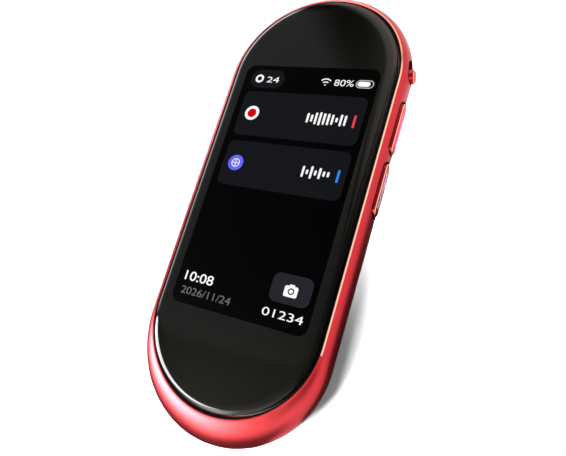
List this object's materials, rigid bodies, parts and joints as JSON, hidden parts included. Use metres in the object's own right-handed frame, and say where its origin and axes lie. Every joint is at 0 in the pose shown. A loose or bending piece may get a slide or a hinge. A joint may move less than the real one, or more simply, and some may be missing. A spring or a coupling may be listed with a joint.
{
  "type": "handheld translator",
  "caption": "Pill-shaped pocket translator: black glass face over a tall display, red metal shell with a sloped chin, slide switch and two side talk keys.",
  "frame": {"origin": "centre of the flat back, midway between the two end arcs' centres", "axes": "+X to the side with the talk keys, +Y to the top end, +Z out of the screen"},
  "size_m": [0.0519, 0.1242, 0.0119],
  "materials": {
    "red_shell": "red anodised, satin, fine bead-blasted grain",
    "red_key": "red anodised, polished edges",
    "pink_inlay": "glossy resin filling",
    "slate_inlay": "glossy resin filling",
    "cover_glass": "black printed cover glass, glossy",
    "display": "lit display panel",
    "black_plastic": "moulded, fine texture",
    "frame_alloy": "die cast, bare",
    "bezel_metal": "turned, black anodised",
    "lens_glass": "polished",
    "led_package": "phosphor yellow",
    "steel": "stamped",
    "circuit_board": "green solder mask",
    "flex_cable": "polyimide film",
    "battery_pouch": "laminated foil pouch",
    "foam": "foam sheet",
    "adhesive": "black tape",
    "clear_adhesive": "clear tape"
  },
  "bodies": {
    "housing": {"outer_shell": "red_shell", "rear_cover": "red_shell", "rear_cover_adhesive": "adhesive", "mid_frame": "frame_alloy", "frame_screws": "steel", "bezel_frame": "black_plastic", "front_glass": "cover_glass", "glass_adhesive": "adhesive", "optical_adhesive": "clear_adhesive", "display_panel": "display", "display_foam": "foam", "display_flex": "flex_cable", "main_board": "circuit_board", "main_board_screws": "steel", "processor_shield": "steel", "modem_shield": "steel", "board_connectors": "black_plastic", "camera_module": "black_plastic", "camera_bezel": "bezel_metal", "camera_window": "lens_glass", "flash_light_pipe": "lens_glass", "flash_led": "led_package", "battery": "battery_pouch", "battery_adhesive": "clear_adhesive", "battery_protection_board": "circuit_board", "battery_lead": "flex_cable", "sub_board": "circuit_board", "sub_board_screws": "steel", "usb_receptacle": "steel", "usb_contact_tongue": "black_plastic", "interboard_flex": "flex_cable", "speaker_module": "black_plastic", "speaker_gasket": "foam", "speaker_mesh": "steel", "main_microphone": "steel", "noise_microphone": "steel", "key_dome_switches": "steel", "side_key_flex": "flex_cable", "side_key_bracket": "steel", "power_switch_liner": "black_plastic", "power_switch_body": "black_plastic", "sim_reader": "steel", "upper_antenna": "flex_cable", "lower_antenna": "flex_cable"},
    "switch_knob": {"power_switch_knob": "red_key"},
    "upper_key": {"upper_talk_button": "red_key", "upper_key_inlay": "pink_inlay"},
    "lower_key": {"lower_talk_button": "red_key", "lower_key_inlay": "slate_inlay"},
    "tray": {"sim_tray": "red_key"}
  },
  "joints": [
    {"name": "power_switch_slide", "type": "slide", "parent": "housing", "child": "switch_knob", "axis": [-0.1601, 0.9871, 0], "range_m": [0, 0.0024]},
    {"name": "upper_talk_push", "type": "slide", "parent": "housing", "child": "upper_key", "axis": [-1, 0, 0], "range_m": [0, 0.00035], "stiffness_N_per_m": 1500},
    {"name": "lower_talk_push", "type": "slide", "parent": "housing", "child": "lower_key", "axis": [-1, 0, 0], "range_m": [0, 0.00035], "stiffness_N_per_m": 1500},
    {"name": "sim_tray_slide", "type": "slide", "parent": "housing", "child": "tray", "axis": [-1, 0, 0], "range_m": [0, 0.012]}
  ]
}
